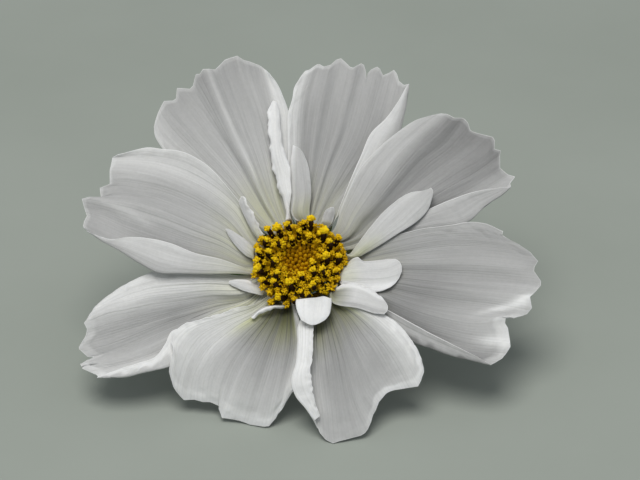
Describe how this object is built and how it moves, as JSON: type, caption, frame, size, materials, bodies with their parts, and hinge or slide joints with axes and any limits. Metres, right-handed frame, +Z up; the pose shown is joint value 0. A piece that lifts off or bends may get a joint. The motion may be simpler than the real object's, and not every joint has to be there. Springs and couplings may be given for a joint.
{
  "type": "cosmos flower",
  "caption": "Single white cosmos bloom as picked, lying face up on a short bent stem, with fluted toothed petals, small extra petals and a yellow disc with a sunken middle.",
  "frame": {"origin": "centre of the bounding box's footprint, on the surface the flower rests on", "axes": "+Z up from the surface, -Y towards the side the flower faces, +X to the right of a viewer who faces the flower; the stem lies back along +Y"},
  "size_m": [0.0788, 0.0778, 0.0416],
  "materials": {
    "ray_petal": "matte",
    "extra_petal": "matte",
    "inner_bract": "satin",
    "outer_bract": "satin",
    "stem_green": "satin",
    "floret_yellow": "matte",
    "bud_ochre": "matte"
  },
  "bodies": {
    "root": {"stem": "stem_green", "inner_bract_1": "inner_bract", "inner_bract_2": "inner_bract", "inner_bract_3": "inner_bract", "inner_bract_4": "inner_bract", "inner_bract_5": "inner_bract", "inner_bract_6": "inner_bract", "inner_bract_7": "inner_bract", "inner_bract_8": "inner_bract", "outer_bract_1": "outer_bract", "outer_bract_2": "outer_bract", "outer_bract_3": "outer_bract", "outer_bract_4": "outer_bract", "outer_bract_5": "outer_bract", "outer_bract_6": "outer_bract", "outer_bract_7": "outer_bract", "outer_bract_8": "outer_bract", "ray_petal_1": "ray_petal", "ray_petal_2": "ray_petal", "ray_petal_3": "ray_petal", "ray_petal_4": "ray_petal", "ray_petal_5": "ray_petal", "ray_petal_6": "ray_petal", "ray_petal_7": "ray_petal", "ray_petal_8": "ray_petal", "extra_petal_1": "extra_petal", "extra_petal_2": "extra_petal", "extra_petal_3": "extra_petal", "extra_petal_4": "extra_petal", "extra_petal_5": "extra_petal", "extra_petal_6": "extra_petal", "extra_petal_7": "extra_petal", "extra_petal_8": "extra_petal", "extra_petal_9": "extra_petal", "extra_petal_10": "extra_petal", "extra_petal_11": "extra_petal", "disc_florets_outer_ring": "floret_yellow", "disc_florets_second_ring": "floret_yellow", "disc_florets_third_ring": "floret_yellow", "disc_florets_centre_buds": "bud_ochre"}
  },
  "joints": []
}
